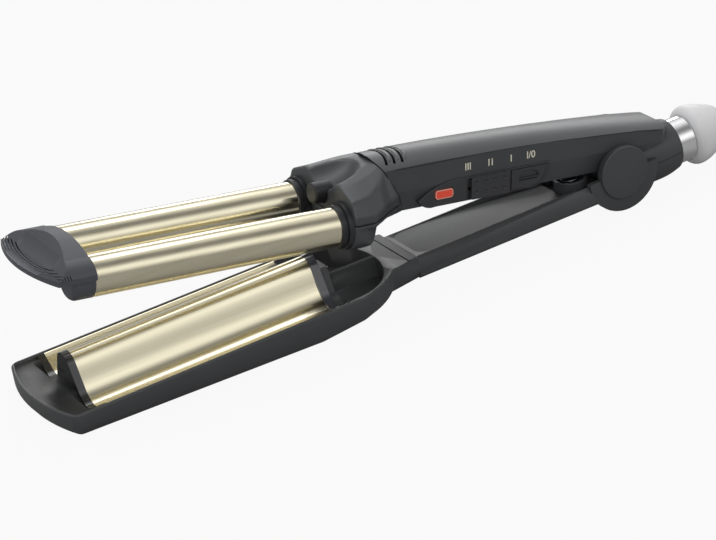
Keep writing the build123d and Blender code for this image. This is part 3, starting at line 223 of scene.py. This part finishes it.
# ================= moulded shells =================
# Glass-filled nylon housings from spark-eroded tools, dark grey and satin.
# Head and handle are of a slightly darker and smoother grade than the arm below.
def moulded_plastic(name, colour, roughness, grain_mm=0.35, depth_mm=0.02, coat=0.0):
    """Moulded plastic with the fine grain of the tool and a faint cloudiness."""
    material = bpy.data.materials.new(name)
    material.use_nodes = True
    nodes, links = material.node_tree.nodes, material.node_tree.links
    shader = nodes["Principled BSDF"]
    shader.inputs["Coat Weight"].default_value = coat
    shader.inputs["Coat Roughness"].default_value = 0.08
    where = nodes.new("ShaderNodeTexCoord")
    cloud = nodes.new("ShaderNodeTexNoise")
    cloud.inputs["Scale"].default_value = 38.0
    cloud.inputs["Detail"].default_value = 3.0
    grain = nodes.new("ShaderNodeTexNoise")
    grain.inputs["Scale"].default_value = 1000 / grain_mm
    grain.inputs["Detail"].default_value = 2.0
    tint = nodes.new("ShaderNodeValToRGB")
    for stop, place, share in zip(tint.color_ramp.elements, (0.3, 0.7), (0.93, 1.07)):
        stop.position = place
        stop.color = (*(share * part for part in colour), 1)
    rough = nodes.new("ShaderNodeMapRange")
    rough.inputs["To Min"].default_value = roughness - 0.05
    rough.inputs["To Max"].default_value = roughness + 0.05
    bump = nodes.new("ShaderNodeBump")
    bump.inputs["Strength"].default_value = 0.25
    bump.inputs["Distance"].default_value = depth_mm / 1000
    links.new(where.outputs["Object"], cloud.inputs["Vector"])
    links.new(where.outputs["Object"], grain.inputs["Vector"])
    links.new(cloud.outputs["Fac"], tint.inputs["Fac"])
    links.new(grain.outputs["Fac"], rough.inputs["Value"])
    links.new(grain.outputs["Fac"], bump.inputs["Height"])
    links.new(tint.outputs["Color"], shader.inputs["Base Color"])
    links.new(rough.outputs["Result"], shader.inputs["Roughness"])
    links.new(bump.outputs["Normal"], shader.inputs["Normal"])
    return material


arm_plastic = moulded_plastic("arm_plastic", (0.058, 0.060, 0.063), 0.46)
wear(arm_plastic, "tail_lower", "tail_upper", "spring_cup", "near_hinge_cap", "far_hinge_cap")
handle_plastic = moulded_plastic("handle_plastic", (0.052, 0.055, 0.059), 0.38)
wear(handle_plastic, "handle_top_cover", "handle_bottom_shell")
collar_plastic = moulded_plastic("collar_plastic", (0.014, 0.015, 0.017), 0.46)
wear(collar_plastic, "head_plug", "near_collar", "far_collar")

# ================= rolled wave of the plate =================
# The sheet is rolled into one smooth wave: two troughs for the barrels and a ridge
# between them, with a narrow flange along each edge.
in_mm = Matrix.Scale(0.001, 4)
hinge_place = Matrix.Translation((0.250, 0, 0.020))
lower_tilt = radians(-1.7)
lower_swing = hinge_place @ Matrix.Rotation(lower_tilt, 4, "Y")    # from metres past the hinge
lower_place = lower_swing @ in_mm                                  # from mm past the hinge
plate_front_x = -292.9
plate_rear_x = -169.6
plate_ridge_r = 6.5
plate_ridge_z = 6.9
trough_r = 10.1
trough_y = 20.3
trough_z = 2.5
end_row = 0.6                  # a row close to each end keeps the ends square
sheet_gauge = 0.9


def wave_through(points):
    """Cage of the smooth curve that runs through the points, found by relaxing."""
    rounds = 30
    cage = list(points)
    for _ in range(rounds):
        for i in range(1, len(cage) - 1):
            cage[i] = (6 * points[i] - cage[i - 1] - cage[i + 1]) / 4
    return cage


def new_corners(made):
    """The corners among what an operator made."""
    return [part for part in made["geom"] if isinstance(part, bmesh.types.BMVert)]


half_wave = [(plate_ridge_r * sin(radians(turn)), plate_ridge_z + plate_ridge_r * cos(radians(turn)))
             for turn in (0, 34.7)]
half_wave += [(6.0, 9.7), (7.4, 6.8), (8.5, 3.95), (9.6, 1.1), (11.0, -1.8)]    # flank
half_wave += [(trough_y + trough_r * sin(radians(turn)), trough_z - trough_r * cos(radians(turn)))
              for turn in (-45, -22.7, 0, 22.1, 43)]
half_wave += [(30.2, -2.5), (32.9, -0.75), (33.5, -0.6)]    # flange
whole_wave = [Vector((-y, z)) for y, z in reversed(half_wave[1:])] + [Vector(spot) for spot in half_wave]
sheet = bmesh.new()
row = [sheet.verts.new((plate_front_x, y, z)) for y, z in wave_through(whole_wave)]
edges = [sheet.edges.new(pair) for pair in zip(row[:-1], row[1:])]
for stretch in (end_row, plate_rear_x - plate_front_x - 2 * end_row, end_row):
    pulled = bmesh.ops.extrude_edge_only(sheet, edges=edges)
    edges = [part for part in pulled["geom"] if isinstance(part, bmesh.types.BMEdge)]
    bmesh.ops.translate(sheet, verts=new_corners(pulled), vec=(stretch, 0, 0))
bmesh.ops.recalc_face_normals(sheet, faces=sheet.faces)
if sum(face.normal.z for face in sheet.faces) < 0:
    bmesh.ops.reverse_faces(sheet, faces=sheet.faces)
sheet.transform(lower_place)
sheet_mesh = mesh_of("plate_sheet", sheet)
sheet_mesh.shade_smooth()


def add_piece(name, mesh, *finishes):
    """A new piece in the scene, with its finishes in the order of its slots."""
    mesh.materials.clear()
    for finish in finishes:
        mesh.materials.append(finish)
    return put_in_scene(name, mesh)


plate_sheet = add_piece("plate_sheet", sheet_mesh, gold_coat)
rounding = plate_sheet.modifiers.new("rounding", "SUBSURF")
rounding.levels = rounding.render_levels = 3
gauge = plate_sheet.modifiers.new("gauge", "SOLIDIFY")
gauge.thickness = sheet_gauge / 1000
gauge.offset = -1.0
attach(plate_sheet, "lower_arm")
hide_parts("wave_plate")

# ================= ears of the lower arm =================
# The arm's two ears carry the hinge pin. Each is a round plate under its cap
# and a wider crescent below, so the wide upper half of the plate is cut off.
ear_cap_r = 13.4
ear_past_r = 21.0              # past the ear's rim
ear_inner_y = 15.2
ear_outer_y = 18.6
deck_rear_x = -296.4           # front deck of the jaw, of a darker grade
deck_top_z = -1.2
deck_half_w = 33.9
facing_up = 0.05


def merged_copy(node):
    """A CAD node's mesh with its loose triangles joined."""
    merge_gap = 0.000002
    copied = bmesh.new()
    copied.from_mesh(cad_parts[node].data)
    bmesh.ops.remove_doubles(copied, verts=copied.verts, dist=merge_gap)
    return copied


def finished_mesh(drawn):
    """Finished mesh of a drawn object, which is then removed."""
    bpy.context.view_layer.update()
    mesh = bpy.data.meshes.new_from_object(drawn.evaluated_get(bpy.context.evaluated_depsgraph_get()))
    bpy.data.objects.remove(drawn)
    return mesh


wedges = bmesh.new()
for side in (-1, 1):
    corners = [wedges.verts.new((radius, side * y, 0.0))
               for radius, y in ((ear_cap_r, ear_inner_y), (ear_past_r, ear_inner_y),
                                 (ear_past_r, ear_outer_y), (ear_cap_r, ear_outer_y))]
    wedge = wedges.faces.new(corners)
    bmesh.ops.spin(wedges, geom=[wedge], cent=(0, 0, 0), axis=(0, 1, 0), angle=-pi, steps=64,
                   use_duplicate=False)
bmesh.ops.recalc_face_normals(wedges, faces=wedges.faces)
wedges.transform(lower_place)
cutter = put_in_scene("ear_cutters", mesh_of("ear_cutters", wedges))
uncut = put_in_scene("uncut_arm", mesh_of("uncut_arm", merged_copy("lower_arm_shell")))
cut = uncut.modifiers.new("cut", "BOOLEAN")
cut.operation = "DIFFERENCE"
cut.solver = "EXACT"
cut.object = cutter
arm_mesh = finished_mesh(uncut)
bpy.data.objects.remove(cutter)
arm_mesh.shade_smooth()
polished_deck = moulded_plastic("polished_deck", (0.022, 0.024, 0.023), 0.5, grain_mm=0.6, depth_mm=0.008)
arm_moulding = add_piece("arm_moulding", arm_mesh, arm_plastic, polished_deck)
to_arm = lower_place.inverted()
for face in arm_mesh.polygons:
    spot = to_arm @ face.center
    in_front = spot.x < deck_rear_x and spot.z < deck_top_z and abs(spot.y) < deck_half_w
    if in_front and (to_arm.to_3x3() @ face.normal).normalized().z > facing_up:
        face.material_index = 1
arm_mesh.set_sharp_from_angle(angle=radians(24))
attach(arm_moulding, "lower_arm")
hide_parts("lower_arm_shell")

# ================= step in the well =================
# Behind the glossy end block the moulding repeats the wave once more, a little
# lower, with a narrow groove between the two.
step_back = 4.9
step_down = 3.0
step_foot_z = -11.8
step_top_z = 6.6
ridge_half_w = 12.0
ridge_share = 0.72             # of the block's ridge is left in width
step = merged_copy("plate_rear_block")
step.transform(to_arm)
bmesh.ops.translate(step, verts=step.verts, vec=(step_back, 0, -step_down))
for vertex in step.verts:
    if abs(vertex.co.y) < ridge_half_w:
        vertex.co.y *= ridge_share
for height, upward in ((step_foot_z, -1), (step_top_z, 1)):
    bmesh.ops.bisect_plane(step, geom=step.verts[:] + step.edges[:] + step.faces[:],
                           plane_co=(0, 0, height), plane_no=(0, 0, upward), clear_outer=True)
    bmesh.ops.holes_fill(step, edges=[edge for edge in step.edges if edge.is_boundary])
step.transform(lower_place)
bmesh.ops.recalc_face_normals(step, faces=step.faces)
well_step = add_piece("well_step", mesh_of("well_step", step), arm_plastic)
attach(well_step, "lower_arm")

# ================= end blocks =================
# Two glossy blocks close the ends of the corrugated plate, the front one black and
# the rear one grey, its grey partly a painted reflection of the light it mirrors.
# They are polished in the tool, so they mirror the light.
polished_black = moulded_plastic("polished_black", (0.018, 0.018, 0.020), 0.16,
                                 grain_mm=0.6, depth_mm=0.004, coat=0.6)
wear(polished_black, "plate_front_block")
# The rear block's lighter base is partly painted reflection of the light on its flank.
grey_with_painted_sheen = moulded_plastic("grey_with_painted_sheen", (0.055, 0.057, 0.066), 0.18,
                                grain_mm=0.6, depth_mm=0.004, coat=0.8)
wear(grey_with_painted_sheen, "plate_rear_block")

# ================= grip cover =================
# A long lid over the wires in the grip, which dips towards the hinge. It is of a
# slightly darker and duller grade than the arm.
cover_plastic = moulded_plastic("cover_plastic", (0.046, 0.048, 0.050), 0.5)
wear(cover_plastic, "grip_cover")

# ================= front cap =================
# Heat-proof mid-grey moulding that joins the barrel ends and carries the finger
# lever. Its surface is duller than the handle's.
cap_plastic = moulded_plastic("cap_plastic", (0.060, 0.065, 0.077), 0.46, grain_mm=0.3)
wear(cap_plastic, "front_cap")

# ================= controls =================
# Bezel, slider and button are near-black mouldings with a fine grain. The lens
# over the lamp is red acrylic with round corners, in a narrow pale frame.
control_plastic = moulded_plastic("control_plastic", (0.036, 0.037, 0.040), 0.42, grain_mm=0.25)
wear(control_plastic, "control_bezel", "temperature_slider", "power_button")
red_acrylic = moulded_plastic("red_acrylic", (0.72, 0.060, 0.030), 0.14, grain_mm=1.2, coat=0.5)
red_shader = red_acrylic.node_tree.nodes["Principled BSDF"]
red_shader.inputs["Emission Color"].default_value = (1.0, 0.10, 0.04, 1)
red_shader.inputs["Emission Strength"].default_value = 0.12
upper_tilt = radians(8.8)
upper_swing = hinge_place @ Matrix.Rotation(upper_tilt, 4, "Y")
upper_place = upper_swing @ in_mm
lens_x = -101.6
lens_z = 6.3
lens_len = 9.6
lens_h = 4.3
lens_corner_r = 1.3
lens_deep = 3.6
lens_face_y = -16.15
frame_over = 0.1               # the frame is larger than the lens by this
frame_corner_r = 1.35
frame_deep = 0.25
frame_w = 0.45
frame_rise = 0.05              # its inner rim stands out by this
frame_face_y = -16.32


def face_piece(name, shape, material, x, y, z):
    """Stand a shape drawn flat, in mm, upright on the near side of the handle."""
    stand = Matrix.Translation((x, y, z)) @ Matrix.Rotation(pi / 2, 4, "X")
    shape.transform(upper_place @ stand)
    bmesh.ops.recalc_face_normals(shape, faces=shape.faces)
    piece = add_piece(name, mesh_of(name, shape), material)
    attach(piece, "upper_arm")
    return piece


def rounded_plate(length, height, corner, thick):
    """A flat plate with round corners, its front face at zero."""
    shape = bmesh.new()
    bmesh.ops.create_grid(shape, x_segments=1, y_segments=1, size=0.5)
    bmesh.ops.transform(shape, matrix=Matrix.Diagonal((length, height, 1, 1)), verts=shape.verts)
    bmesh.ops.bevel(shape, geom=shape.verts, offset=corner, offset_type="OFFSET", affect="VERTICES",
                    segments=6, profile=0.5, material=-1)
    pushed = bmesh.ops.extrude_face_region(shape, geom=list(shape.faces))
    bmesh.ops.translate(shape, verts=new_corners(pushed), vec=(0, 0, -thick))
    return shape


lens_plate = rounded_plate(lens_len, lens_h, lens_corner_r, lens_deep)
red_lens = face_piece("red_lens", lens_plate, red_acrylic, lens_x, lens_face_y, lens_z)
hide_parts("led_lens")
pale_acrylic = moulded_plastic("pale_acrylic", (0.90, 0.44, 0.34), 0.2, grain_mm=1.2, coat=0.5)
lens_frame = rounded_plate(lens_len + frame_over, lens_h + frame_over, frame_corner_r, frame_deep)
front_face = max(lens_frame.faces, key=lambda face: face.calc_center_median().z)
bmesh.ops.inset_region(lens_frame, faces=[front_face], thickness=frame_w, depth=-frame_rise)
bmesh.ops.delete(lens_frame, geom=[front_face], context="FACES_ONLY")
face_piece("lens_frame", lens_frame, pale_acrylic, lens_x, frame_face_y, lens_z)
lamp_resin = moulded_plastic("lamp_resin", (0.80, 0.16, 0.10), 0.15, grain_mm=1.0, depth_mm=0.01, coat=0.4)
wear(lamp_resin, "indicator_led")


# ================= swivel =================
# The neck is a plated steel tube, bright as a mirror. The knob is a pale grey
# moulding that turns in it, so the cord does not twist.
def bare_metal(name, colour, roughness, scratch_mm=0.4):
    """Steel or aluminium with fine marks from the tool that cut it."""
    material = bpy.data.materials.new(name)
    material.use_nodes = True
    nodes, links = material.node_tree.nodes, material.node_tree.links
    shader = nodes["Principled BSDF"]
    shader.inputs["Metallic"].default_value = 1.0
    where = nodes.new("ShaderNodeTexCoord")
    marks = nodes.new("ShaderNodeTexNoise")
    marks.inputs["Scale"].default_value = 1000 / scratch_mm
    marks.inputs["Detail"].default_value = 3.0
    tint = nodes.new("ShaderNodeValToRGB")
    for stop, place, share in zip(tint.color_ramp.elements, (0.3, 0.7), (0.94, 1.0)):
        stop.position = place
        stop.color = (*(share * part for part in colour), 1)
    rough = nodes.new("ShaderNodeMapRange")
    rough.inputs["To Min"].default_value = roughness
    rough.inputs["To Max"].default_value = roughness + 0.06
    links.new(where.outputs["Object"], marks.inputs["Vector"])
    links.new(marks.outputs["Fac"], tint.inputs["Fac"])
    links.new(marks.outputs["Fac"], rough.inputs["Value"])
    links.new(tint.outputs["Color"], shader.inputs["Base Color"])
    links.new(rough.outputs["Result"], shader.inputs["Roughness"])
    return material


bright_plate = bare_metal("bright_plate", (0.92, 0.92, 0.93), 0.12, scratch_mm=1.5)
wear(bright_plate, "swivel_neck")
knob_plastic = moulded_plastic("knob_plastic", (0.76, 0.76, 0.77), 0.46)
wear(knob_plastic, "swivel_knob")
plain_steel = bare_metal("plain_steel", (0.56, 0.57, 0.58), 0.28)
wear(plain_steel, "swivel_clip", "hinge_pin", "lower_screws", "cap_screws", "handle_screws")

# ================= opening spring =================
# A coil of blued spring wire pushes the arms apart. It stands in the cup and is
# pressed together as the arms close.
blued_steel = bare_metal("blued_steel", (0.10, 0.10, 0.11), 0.35)
spring_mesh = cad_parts["opening_spring"].data.copy()
spring_mesh.name = "pressed_spring"
pressed_spring = add_piece("pressed_spring", spring_mesh, blued_steel)
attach(pressed_spring, "lower_arm")
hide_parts("opening_spring")
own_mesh(pressed_spring)

# ================= heaters and electrics =================
# Fired ceramic heaters lie between extruded aluminium bars. The board, switches
# and carrier are hidden in the handle and under the plate.
fired_ceramic = moulded_plastic("fired_ceramic", (0.82, 0.80, 0.75), 0.6, grain_mm=0.2, depth_mm=0.03)
wear(fired_ceramic, "near_heater", "far_heater", "plate_heater")
extruded_bar = bare_metal("extruded_bar", (0.72, 0.72, 0.73), 0.30)
wear(extruded_bar, "near_spreaders", "far_spreaders", "heat_saddle")
natural_nylon = moulded_plastic("natural_nylon", (0.62, 0.58, 0.48), 0.5)
wear(natural_nylon, "heater_carrier", "slide_switch", "power_switch")
board_resin = moulded_plastic("board_resin", (0.03, 0.13, 0.05), 0.35, grain_mm=0.8)
wear(board_resin, "circuit_board")

# ================= marks of the switch =================
# Cream pad-printed marks above the controls: three bars, two bars and one bar
# for the heat steps, and a bar, a stroke and a ring for the power button.
mark_z = 17.0
mark_face_y = -14.86
mark_size = 4.9
print_thick = 0.03
print_spread = 0.06
side_lean = atan(0.3 / 11.2)   # the handle's side leans in by 0.3 over its height of 11.2
cream_print = moulded_plastic("cream_print", (0.80, 0.76, 0.62), 0.55, grain_mm=0.2, depth_mm=0.01)
for name, text, x, spacing in (("mark_three", "III", -87.8, 1.0), ("mark_two", "II", -75.2, 1.25),
                               ("mark_one", "I", -63.6, 1.0), ("mark_power", "I/0", -52.4, 1.0)):
    letters = bpy.data.curves.new(name, "FONT")
    letters.body = text
    letters.size = mark_size
    letters.space_character = spacing
    letters.align_x = "CENTER"
    letters.align_y = "CENTER"
    letters.extrude = print_thick
    letters.offset = print_spread
    mark_mesh = finished_mesh(put_in_scene(name + "_letters", letters))
    stand = Matrix.Translation((x, mark_face_y, mark_z)) @ Matrix.Rotation(pi / 2 - side_lean, 4, "X")
    mark_mesh.transform(upper_place @ stand)
    mark = add_piece(name, mark_mesh, cream_print)
    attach(mark, "upper_arm")

# ================= skin of the head =================
# The two shrouds are blended by hand in the tool, so their crown is one soft
# surface and the arrises of the cheeks are eased by about a millimetre.
skin_grain = 0.00055
for node, name, easings in (("head_top_shroud", "head_crown", 9), ("head_bottom_shroud", "head_chin", 4)):
    cast = put_in_scene(name + "_cast", mesh_of(name + "_cast", merged_copy(node)))
    fine = cast.modifiers.new("fine", "REMESH")
    fine.mode = "VOXEL"
    fine.voxel_size = skin_grain
    skin_mesh = finished_mesh(cast)
    skin = bmesh.new()
    skin.from_mesh(skin_mesh)
    for _ in range(easings):
        bmesh.ops.smooth_vert(skin, verts=skin.verts, factor=0.5,
                              use_axis_x=True, use_axis_y=True, use_axis_z=True)
    skin.to_mesh(skin_mesh)
    skin.free()
    skin_mesh.shade_smooth()
    skin_piece = add_piece(name, skin_mesh, handle_plastic)
    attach(skin_piece, "upper_arm")
    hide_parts(node)

# ================= parting lines =================
# Where two mouldings meet, the rounded arrises leave a fine dark groove. It runs
# along the handle, round the seam of head and handle, and along head and tail.
shadow_gap = moulded_plastic("shadow_gap", (0.010, 0.010, 0.011), 0.6, grain_mm=0.2, depth_mm=0.01)
ray_from = 50.0                # the rays start this far out from the middle
head_split_z = 5.0
head_split_x = range(-158, -124, 3)
tail_split_z = -4.5
tail_split_x = range(12, 39, 2)
handle_seam = ((-127.0, 22.1), (-103.0, 22.2), (-81.0, 22.4), (-58.0, 22.0), (-36.0, 21.2),
               (-12.0, 19.7), (11.0, 18.4), (22.0, 16.6))
hood_centre = Vector((-128.5, 0, 12))
hood_up = Vector((-15, 0, 30)).normalized()
hood_across = Vector((0, 1, 0))
hood_turns = range(-115, 120, 5)    # degrees to each side of its top


def skin_of(*names):
    """Outer surface of CAD nodes, to lay a line on."""
    corners, faces = [], []
    for name in names:
        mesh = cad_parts[name].data
        first = len(corners)
        corners += [vertex.co.copy() for vertex in mesh.vertices]
        faces += [[first + corner for corner in face.vertices] for face in mesh.polygons]
    return BVHTree.FromPolygons(corners, faces)


def groove_line(name, skin, swing, starts, body, half_width):
    """A thin dark line laid where rays from the starts, in mm, meet the surface."""
    reach = 0.12               # in metres, as the surface is
    met = []
    for start, inward in starts:
        way = (swing.to_3x3() @ Vector(inward)).normalized()
        spot = skin.ray_cast(swing @ (Vector(start) / 1000), way, reach)[0]
        if spot is not None:
            met.append(spot)
    line = bpy.data.curves.new(name, "CURVE")
    line.dimensions = "3D"
    line.bevel_depth = half_width / 1000
    line.bevel_resolution = 1
    line.use_fill_caps = True
    run = line.splines.new("POLY")
    run.points.add(len(met) - 1)
    for point, spot in zip(run.points, met):
        point.co = (*spot, 1)
    piece = add_piece(name, finished_mesh(put_in_scene(name + "_run", line)), shadow_gap)
    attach(piece, body)


def beside(side, x, z):
    """Start of a ray level with that spot, and its way in towards the tool."""
    return (x, side * ray_from, z), (0, -side, 0)


handle_skin = skin_of("handle_top_cover", "handle_bottom_shell", "head_top_shroud", "head_bottom_shroud")
for side, word in ((-1, "near"), (1, "far")):
    groove_line(word + "_handle_line", handle_skin, upper_swing,
                [beside(side, x, z) for x, z in handle_seam], "upper_arm", half_width=0.2)
    groove_line(word + "_head_line", handle_skin, upper_swing,
                [beside(side, x, head_split_z) for x in head_split_x], "upper_arm", half_width=0.13)
around_hood = []
for turn in hood_turns:
    way = cos(radians(turn)) * hood_up + sin(radians(turn)) * hood_across
    around_hood.append((hood_centre + ray_from * way, -way))
groove_line("head_seam_line", handle_skin, upper_swing, around_hood, "upper_arm", half_width=0.16)
tail_skin = skin_of("tail_lower", "tail_upper")
for side, word in ((-1, "near"), (1, "far")):
    groove_line(word + "_tail_line", tail_skin, lower_swing,
                [beside(side, x, tail_split_z) for x in tail_split_x], "lower_arm", half_width=0.16)

# ================= louvres =================
# Behind each vent slot the cover rises in a low curved lip, which turns the
# warm air away from the hand. The lips thin out towards their ends.
vent_count = 3
vent_pitch = 4.3
vent_sag = -2.5                # the slots bow forward at their ends
lip_x = -125.95                # crest of the first lip
lip_half_w = 1.25
lip_half_h = 0.75
crown_r = 28.0                 # the cover's round across the tool
crown_z = 26.35
lip_turn = radians(23.5)       # to each side of the crown
lip_taper_from = 0.8           # share of the half length
lip_end_low = 0.9              # share of its height that a lip loses there
lip_end_thin = 0.6             # share of its width
lip_end_sunk = 0.2
lips = bmesh.new()
bmesh.ops.create_circle(lips, cap_ends=False, segments=12, radius=1.0)
ring_place = (Matrix.Rotation(lip_turn, 4, "X") @ Matrix.Translation((0, 0, crown_r))
              @ Matrix.Rotation(pi / 2, 4, "X") @ Matrix.Diagonal((lip_half_w, lip_half_h, 1, 1)))
bmesh.ops.transform(lips, matrix=ring_place, verts=lips.verts)
bmesh.ops.spin(lips, geom=lips.edges[:], cent=(0, 0, 0), axis=(1, 0, 0), angle=-2 * lip_turn, steps=24)
for vertex in lips.verts:
    spoke = Vector((0, vertex.co.y, vertex.co.z))
    share = abs(vertex.co.y) / (crown_r * sin(lip_turn))
    slim = max(0.0, (share - lip_taper_from) / (1 - lip_taper_from)) ** 2
    height = (spoke.length - crown_r) * (1 - lip_end_low * slim) - lip_end_sunk * slim
    spoke = spoke.normalized() * (crown_r + height)
    x = lip_x + vent_sag * share ** 2 + vertex.co.x * (1 - lip_end_thin * slim)
    vertex.co = (x, spoke.y, spoke.z + crown_z - crown_r)
first_lip = lips.verts[:] + lips.edges[:] + lips.faces[:]
for number in range(1, vent_count):
    copied = bmesh.ops.duplicate(lips, geom=first_lip)
    bmesh.ops.translate(lips, verts=new_corners(copied), vec=(number * vent_pitch, 0, 0))
bmesh.ops.holes_fill(lips, edges=[edge for edge in lips.edges if edge.is_boundary])
bmesh.ops.recalc_face_normals(lips, faces=lips.faces)
lips.transform(upper_place)
lips_mesh = mesh_of("vent_lips", lips)
lips_mesh.shade_smooth()
vent_lips = add_piece("vent_lips", lips_mesh, handle_plastic)
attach(vent_lips, "upper_arm")
